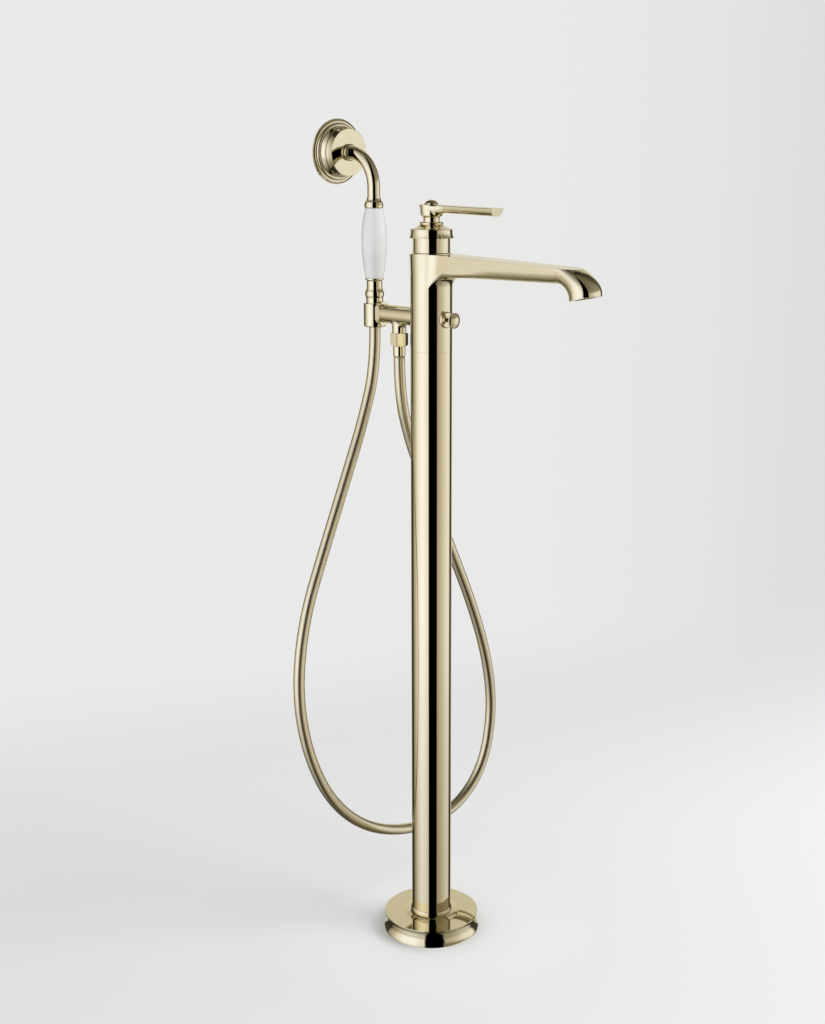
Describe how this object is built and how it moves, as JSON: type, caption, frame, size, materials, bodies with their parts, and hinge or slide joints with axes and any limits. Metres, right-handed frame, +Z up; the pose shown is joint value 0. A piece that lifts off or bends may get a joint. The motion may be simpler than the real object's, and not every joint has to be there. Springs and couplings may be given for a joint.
{
  "type": "freestanding bath mixer",
  "caption": "Tall floor-standing bath mixer: lever on a column, long spout, diverter knob and a hand shower with a porcelain handle resting in a side holder.",
  "frame": {"origin": "on the finished floor, at the middle of the floor plate under the column", "axes": "+Z up along the column, +X along the spout, the handset's arm points to -X"},
  "size_m": [0.4204, 0.3428, 1.019],
  "materials": {
    "polished_gold": "polished",
    "column_gold": "polished",
    "hose_gold": "polished",
    "porcelain": "gloss",
    "raw_brass": "satin",
    "steel": "satin",
    "braided_steel": "satin",
    "black_rubber": "matte",
    "grey_rubber": "matte",
    "white_plastic": "matte",
    "black_plastic": "matte",
    "cartridge_plastic": "matte",
    "valve_ceramic": "satin"
  },
  "bodies": {
    "stand": {"aerator_insert": "black_plastic", "aerator_ring": "polished_gold", "base_cover": "polished_gold", "base_seals": "black_rubber", "body_grub_screws": "steel", "cartridge_base": "cartridge_plastic", "cartridge_housing": "cartridge_plastic", "cartridge_nut": "raw_brass", "check_valve": "white_plastic", "cold_supply_hose": "braided_steel", "column_grub_screws": "steel", "column_socket": "steel", "column_tube": "column_gold", "diverter_rosette": "polished_gold", "fixed_ceramic_disc": "valve_ceramic", "floor_plate": "steel", "foot_ring": "polished_gold", "handset_holder": "polished_gold", "holder_screw": "steel", "hose_ferrule": "polished_gold", "hose_liner": "grey_rubber", "hose_sheath": "hose_gold", "hot_supply_hose": "braided_steel", "inlet_nuts": "raw_brass", "inlet_washers": "black_rubber", "mixer_body": "polished_gold", "neck_sleeve": "polished_gold", "outlet_nut": "polished_gold", "outlet_washer": "black_rubber", "shower_arm": "polished_gold", "supply_stems": "raw_brass"},
    "cartridge_rotor": {"cartridge_rotor": "cartridge_plastic", "rotor_pin": "steel"},
    "lever": {"lever_cap": "polished_gold", "lever_stem": "polished_gold", "lever_handle": "polished_gold", "lever_finial": "polished_gold", "cartridge_spindle": "raw_brass"},
    "disc_carriage": {"moving_ceramic_disc": "valve_ceramic", "disc_driver": "cartridge_plastic"},
    "diverter": {"diverter_spindle": "raw_brass", "diverter_seal": "black_rubber", "diverter_knob": "polished_gold"},
    "hose_cone": {"hose_cone": "polished_gold", "hose_tail": "raw_brass", "cone_washer": "black_rubber"},
    "handset": {"handset_ferrule": "polished_gold", "handle_tube": "raw_brass", "handle_washers": "white_plastic", "porcelain_handle": "porcelain", "bell_collar": "polished_gold", "gooseneck": "polished_gold", "head_shell": "polished_gold", "face_ring": "polished_gold", "face_seal": "black_rubber", "spray_plate": "polished_gold", "spray_plate_screw": "polished_gold", "screw_bridge": "raw_brass", "neck_collar": "polished_gold"}
  },
  "joints": [
    {"name": "lever_turn", "type": "hinge", "parent": "stand", "child": "cartridge_rotor", "pos_m": [0, 0, 0.868], "axis": [0, 0, 1], "range_deg": [-50, 50]},
    {"name": "lever_lift", "type": "hinge", "parent": "cartridge_rotor", "child": "lever", "pos_m": [0, 0, 0.868], "axis": [0, -1, 0], "range_deg": [0, 20]},
    {"name": "disc_shift", "type": "slide", "parent": "cartridge_rotor", "child": "disc_carriage", "axis": [1, 0, 0], "range_m": [0, 0.0058]},
    {"name": "diverter_pull", "type": "slide", "parent": "stand", "child": "diverter", "axis": [1, 0, 0], "range_m": [0, 0.008]},
    {"name": "handset_lift", "type": "slide", "parent": "stand", "child": "hose_cone", "axis": [0, 0, 1], "range_m": [0, 0.035]},
    {"name": "handset_turn", "type": "hinge", "parent": "hose_cone", "child": "handset", "pos_m": [-0.099, 0, 0.806], "axis": [0, 0, 1], "continuous": true}
  ],
  "couplings": [
    {"joint": "disc_shift", "follows": "lever_lift", "m_per_rad": 0.01655}
  ]
}
